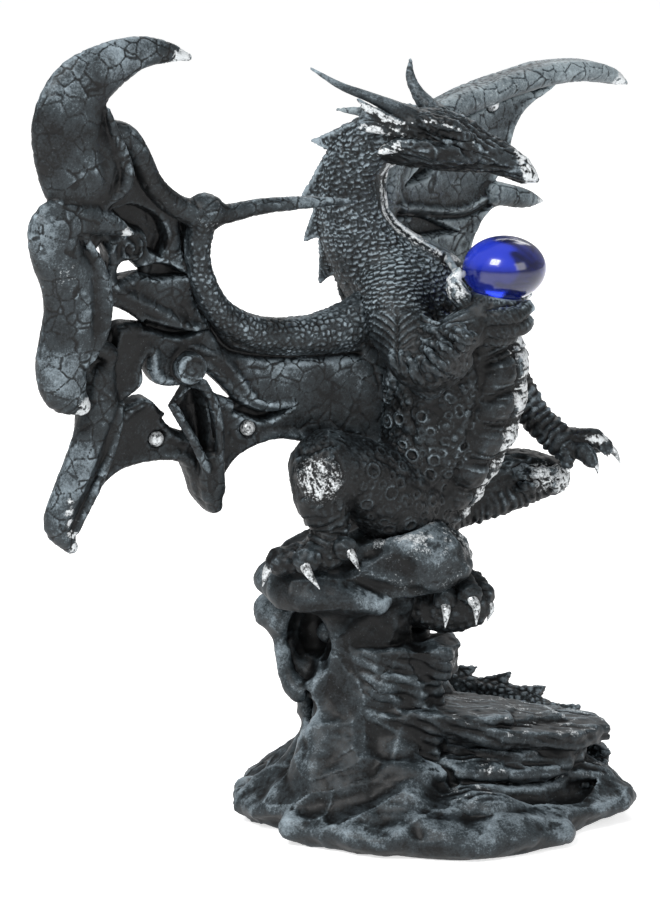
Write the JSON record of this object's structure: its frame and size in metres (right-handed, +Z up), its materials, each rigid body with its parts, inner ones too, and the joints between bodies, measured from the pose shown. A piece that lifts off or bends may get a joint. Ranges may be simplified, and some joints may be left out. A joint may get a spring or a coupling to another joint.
{
  "type": "dragon statue",
  "caption": "Winged dragon perched on a flowing rock plinth, holding a blue glass ball in its raised claws; a cast resin shelf ornament that stands on its flat base.",
  "frame": {"origin": "middle of the plinth's flat underside, on the floor it stands on", "axes": "+Z up, the long way of the statue; +X the way the head points; -Y towards the viewer of the picture"},
  "size_m": [0.2154, 0.1921, 0.2958],
  "materials": {
    "slate_resin": "cold-cast resin painted dark slate, dry-brushed blue-grey and silver",
    "pale_slate_resin": "the same resin, painted a paler grey",
    "blue_glass": "clear cobalt glass, polished"
  },
  "bodies": {
    "root": {"dragon_on_rock": "slate_resin", "right_wing": "slate_resin", "left_wing": "pale_slate_resin", "glass_ball": "blue_glass"}
  },
  "joints": []
}
